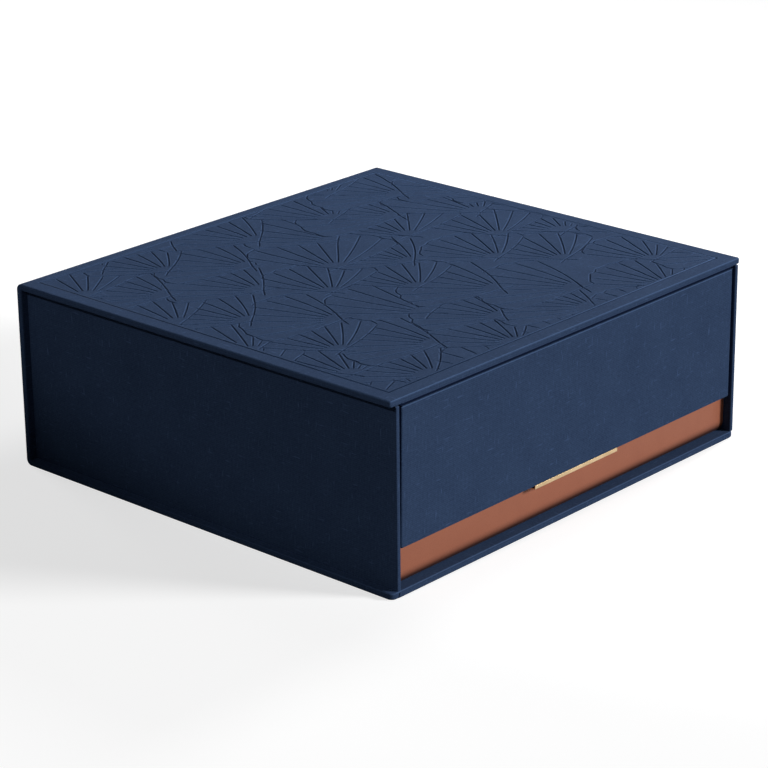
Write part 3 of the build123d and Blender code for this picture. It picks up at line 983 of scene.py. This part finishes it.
def makeBrassBar():
    # the channel's own shape with its folded and cut edges eased, its lip cut down and hanging a little low
    bm = copyNode("brass_bar")
    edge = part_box("flap_cloth")[0].z
    for vert in bm.verts:
        if vert.co.z > edge + bar["metal"] * mm:
            vert.co.z = edge + bar["lip"] * mm
        else:
            vert.co.z -= bar["drop"] * mm
    bmesh.ops.dissolve_limit(bm, angle_limit=math.radians(1), verts=bm.verts, edges=bm.edges)
    sharp = [e for e in bm.edges if len(e.link_faces) == 2 and e.calc_face_angle() > math.radians(50)]
    bmesh.ops.bevel(bm, geom=sharp, offset=bar["ease"] * mm, offset_type="OFFSET", segments=3, profile=0.5,
                    affect="EDGES", material=-1, clamp_overlap=True)
    piece = addPiece("brass_bar_brushed", bm, finishes["brass"], "flap", ["brass_bar"])
    shadeByAngle(piece, degrees=40)


makeBrassBar()
print("pieces made")


# Camera and light

camera = {
    "focal": 134.45,            # mm
    "sensor": 36.0,             # mm
    "nearest": 0.05,            # metres
    "farthest": 20.0,
    "place": (-0.9520, -0.8663, 0.5269),    # metres
    "right": (0.66961709, -0.74263344, -0.01041811),        # the picture's own directions
    "down": (-0.27197888, -0.2321366, -0.93388441),
    "ahead": (0.69111536, 0.62817846, -0.35742325),
}


def makeCamera():
    data = bpy.data.cameras.new("camera")
    data.sensor_width = camera["sensor"]
    data.lens = camera["focal"]
    data.clip_start, data.clip_end = camera["nearest"], camera["farthest"]
    holder = bpy.data.objects.new("camera", data)
    scene.collection.objects.link(holder)
    turn = Matrix((camera["right"], [-c for c in camera["down"]], [-c for c in camera["ahead"]])).transposed()
    holder.matrix_world = Matrix.Translation(camera["place"]) @ turn.to_4x4()
    scene.camera = holder


makeCamera()

# towards is the way from the box to the lamp; distance and size are in metres, power in watts
lamps = {
    # near and low on the right, which rakes over the pressed lines
    "key": {"towards": (0.84, 0.0, 0.54), "distance": 0.8, "size": 0.21, "power": 3.3},
    # far and large, from the front, for the flap and the lid
    "front": {"towards": (0.52, -0.76, 0.39), "distance": 6.8, "size": 1.8, "power": 465.0},
    # very low behind, for the back and the crests of the lines
    "back": {"towards": (0.10, 0.98, 0.17), "distance": 1.6, "size": 0.5, "power": 9.0},
    # a spot for the left wall, aimed so high that the edge of its cone falls across the wall's foot
    "side": {"towards": (-0.78, -0.05, 0.62), "distance": 1.6, "size": 0.05, "power": 17.3,
             "aim": (-0.12, -0.09, 0.667), "cone": 50.0, "blend": 0.05},
}


def makeLamps():
    middle = Vector((0, 0, cadHigh.z / 2))
    for name, lamp in lamps.items():
        data = bpy.data.lights.new(name, "SPOT" if "cone" in lamp else "AREA")
        if "cone" in lamp:
            data.spot_size = math.radians(lamp["cone"])
            data.spot_blend = lamp["blend"]
            data.shadow_soft_size = lamp["size"] / 2
        else:
            data.shape = "DISK"
            data.size = lamp["size"]
        data.energy = lamp["power"]
        holder = bpy.data.objects.new(name, data)
        scene.collection.objects.link(holder)
        holder.location = middle + Vector(lamp["towards"]).normalized() * lamp["distance"]
        ahead = Vector(lamp.get("aim", middle)) - holder.location
        holder.rotation_mode = "QUATERNION"
        holder.rotation_quaternion = ahead.to_track_quat("-Z", "Y")


makeLamps()

studio = {
    "surround": 0.03,           # faint light from all round
    "surroundTint": (0.93, 0.97, 1.0),
    "floorReach": 6.0,          # metres from the middle to a side
    "floorBounce": 0.12,        # what the floor returns to the object
    "floorShown": 0.50,         # the same floor as the camera and mirrors see it, with its glow
    "floorGlow": 0.68,
}


def seenOrMirrored(tree):
    # 1 for rays from the camera and for mirrored or refracted ones
    path = addNode(tree, "ShaderNodeLightPath")
    seen = path.outputs["Is Camera Ray"]
    for kind in ("Is Glossy Ray", "Is Transmission Ray"):
        either = addNode(tree, "ShaderNodeMath", {0: seen, 1: path.outputs[kind]}, operation="MAXIMUM")
        seen = either.outputs[0]
    return seen


def makeWorld():
    world = bpy.data.worlds.new("studio")
    world.use_nodes = True
    tree = world.node_tree
    tree.nodes.clear()
    seen = seenOrMirrored(tree)
    dim = addNode(tree, "ShaderNodeBackground", {"Color": (*studio["surroundTint"], 1.0),
                                                 "Strength": studio["surround"]})
    white = addNode(tree, "ShaderNodeBackground", {"Color": (1, 1, 1, 1), "Strength": 1.0})
    mixed = addNode(tree, "ShaderNodeMixShader", {0: seen, 1: dim.outputs[0], 2: white.outputs[0]})
    addNode(tree, "ShaderNodeOutputWorld", {"Surface": mixed.outputs[0]})
    scene.world = world


def makeFloor():
    bm = bmesh.new()
    bmesh.ops.create_grid(bm, x_segments=8, y_segments=8, size=studio["floorReach"])
    mesh = bpy.data.meshes.new("floor")
    bm.to_mesh(mesh)
    bm.free()
    floor = bpy.data.objects.new("floor", mesh)
    scene.collection.objects.link(floor)
    material, tree = newMaterial("paleFloor")
    seen = seenOrMirrored(tree)
    shown, bounce = studio["floorShown"], studio["floorBounce"]
    pale = addNode(tree, "ShaderNodeBsdfDiffuse", {"Color": (shown, shown, shown, 1.0)})
    glow = addNode(tree, "ShaderNodeEmission", {"Color": (1, 1, 1, 1), "Strength": studio["floorGlow"]})
    bright = addNode(tree, "ShaderNodeAddShader", {0: pale.outputs[0], 1: glow.outputs[0]})
    plain = addNode(tree, "ShaderNodeBsdfDiffuse", {"Color": (bounce, bounce, bounce, 1.0)})
    mixed = addNode(tree, "ShaderNodeMixShader", {0: seen, 1: plain.outputs[0], 2: bright.outputs[0]})
    addNode(tree, "ShaderNodeOutputMaterial", {"Surface": mixed.outputs[0]})
    mesh.materials.append(material)


makeWorld()
makeFloor()
scene.view_settings.view_transform = "Standard"
print("camera, lamps and floor made")
